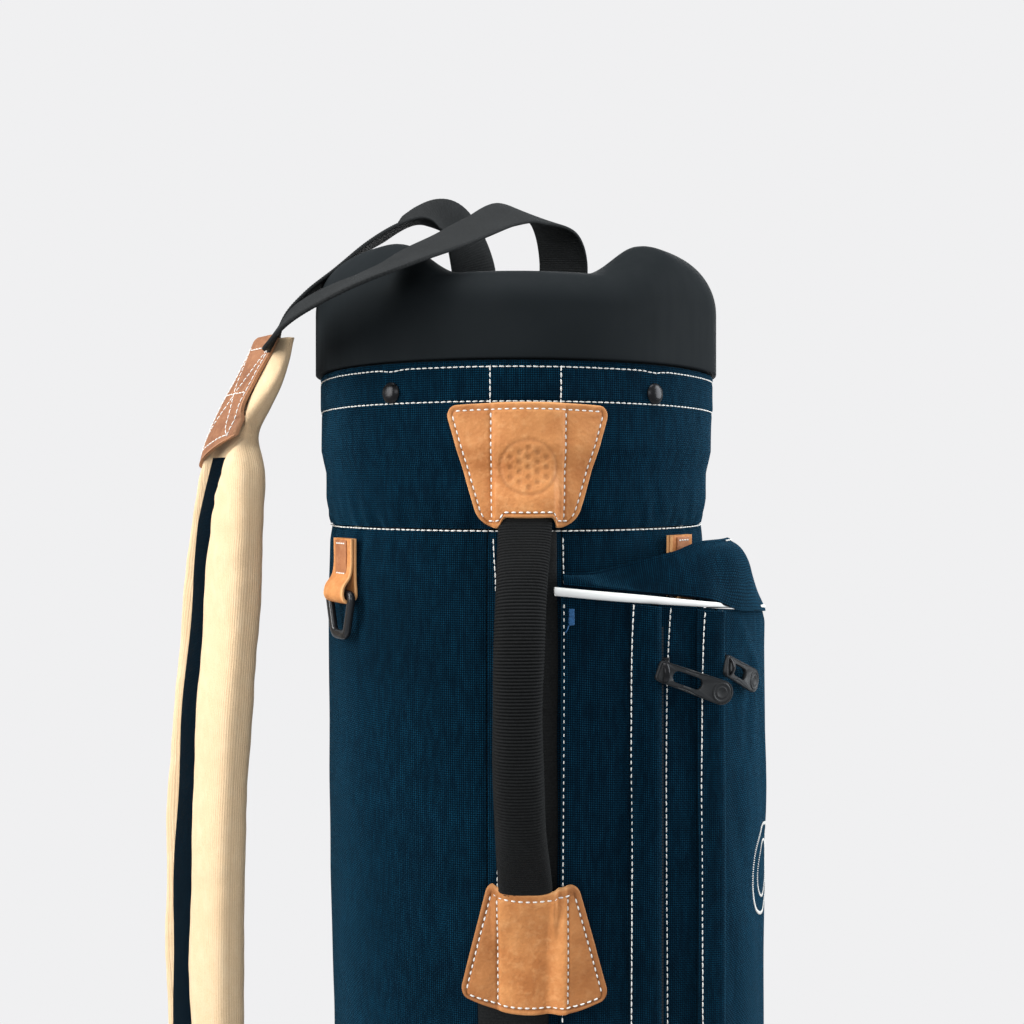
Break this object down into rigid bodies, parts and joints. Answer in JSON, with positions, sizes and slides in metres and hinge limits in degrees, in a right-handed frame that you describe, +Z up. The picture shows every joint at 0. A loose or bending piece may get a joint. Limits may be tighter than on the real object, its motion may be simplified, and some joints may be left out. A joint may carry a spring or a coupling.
{
  "type": "golf bag",
  "caption": "Upright canvas golf carry bag: moulded collar, divided club wells, padded grip, zipped side pocket and shoulder strap.",
  "frame": {"origin": "on the floor under the axis of the tube, at the middle of the base", "axes": "+Z up along the tube, -Y towards the handle, +X towards the pocket, -X towards the shoulder strap"},
  "size_m": [0.3467, 0.2598, 0.9442],
  "materials": {
    "moulded": "matte",
    "ring_plastic": "satin",
    "liner": "matte",
    "lining": "matte",
    "fibreglass": "satin",
    "rubber": "matte",
    "metal": "gloss",
    "canvas": "matte",
    "leather": "matte",
    "webbing": "matte",
    "velour": "matte",
    "piping": "matte",
    "zip_coil": "satin"
  },
  "bodies": {
    "root": {"collar": "moulded", "divider_frame": "moulded", "divider_fore_aft": "lining", "divider_left": "lining", "divider_right": "lining", "inner_tube": "liner", "stay_rod_1": "fibreglass", "stay_rod_2": "fibreglass", "stay_rod_3": "fibreglass", "base_cup": "moulded", "base_wear_pad": "rubber", "base_rivet_1": "metal", "base_rivet_2": "metal", "base_rivet_3": "metal", "base_rivet_4": "metal", "canvas_band": "canvas", "canvas_spine_panel": "canvas", "canvas_right_panel": "canvas", "canvas_back_panel": "canvas", "canvas_left_panel": "canvas", "snap_cap_1": "metal", "snap_cap_2": "metal", "snap_cap_3": "metal", "snap_cap_4": "metal", "snap_cap_5": "metal", "handle_patch_upper": "leather", "handle_patch_lower": "leather", "spine_webbing": "webbing", "handle_grip": "webbing", "tab_left": "leather", "tab_right": "leather", "tab_lower": "leather", "d_ring_lower": "ring_plastic", "pocket_front_gusset": "canvas", "pocket_middle_gusset": "canvas", "pocket_outer_panel": "canvas", "pocket_back_gusset": "canvas", "pocket_floor": "canvas", "pocket_roof": "canvas", "pocket_piping": "piping", "zipper_chain_1": "zip_coil", "zipper_chain_2": "zip_coil", "zipper_flap_1": "canvas", "zipper_flap_2": "canvas", "strap_webbing_front": "webbing", "strap_webbing_rear": "webbing", "strap_webbing_lower": "webbing"},
    "slider_1": {"zipper_slider_1": "metal"},
    "pull_1": {"zipper_pull_1": "rubber"},
    "slider_2": {"zipper_slider_2": "metal"},
    "pull_2": {"zipper_pull_2": "rubber"},
    "ring_left": {"d_ring_left": "ring_plastic"},
    "ring_right": {"d_ring_right": "ring_plastic"},
    "adjuster": {"strap_adjuster": "ring_plastic"},
    "strap": {"strap_leather_top": "leather", "strap_pad": "velour", "strap_leather_bottom": "leather", "strap_face_strip": "canvas"}
  },
  "joints": [
    {"name": "zip_1_slide", "type": "slide", "parent": "root", "child": "slider_1", "axis": [0, 0, 1], "range_m": [-0.5, 0.012]},
    {"name": "zip_1_pull", "type": "hinge", "parent": "slider_1", "child": "pull_1", "pos_m": [0.0672, -0.1022, 0.667], "axis": [0.2546, -0.967, 0], "range_deg": [-69, 92]},
    {"name": "zip_2_slide", "type": "slide", "parent": "root", "child": "slider_2", "axis": [0, 0, 1], "range_m": [-0.5, 0.012]},
    {"name": "zip_2_pull", "type": "hinge", "parent": "slider_2", "child": "pull_2", "pos_m": [0.1, -0.0876, 0.667], "axis": [0.7992, -0.6011, 0], "range_deg": [-69, 92]},
    {"name": "left_ring_swing", "type": "hinge", "parent": "root", "child": "ring_left", "pos_m": [-0.0949, -0.0628, 0.702], "axis": [-0.5519, 0.8339, 0], "range_deg": [-8, 70]},
    {"name": "right_ring_swing", "type": "hinge", "parent": "root", "child": "ring_right", "pos_m": [0.0839, -0.0766, 0.704], "axis": [-0.6743, -0.7385, 0], "range_deg": [-8, 30]},
    {"name": "strap_swing", "type": "hinge", "parent": "root", "child": "strap", "pos_m": [-0.126, -0.035, 0.262], "axis": [-0.0138, 0, 0.9999], "range_deg": [-35, 35]},
    {"name": "adjuster_slide", "type": "slide", "parent": "root", "child": "adjuster", "axis": [0.3801, -0.0794, -0.9215], "range_m": [-0.007, 0.007]}
  ]
}
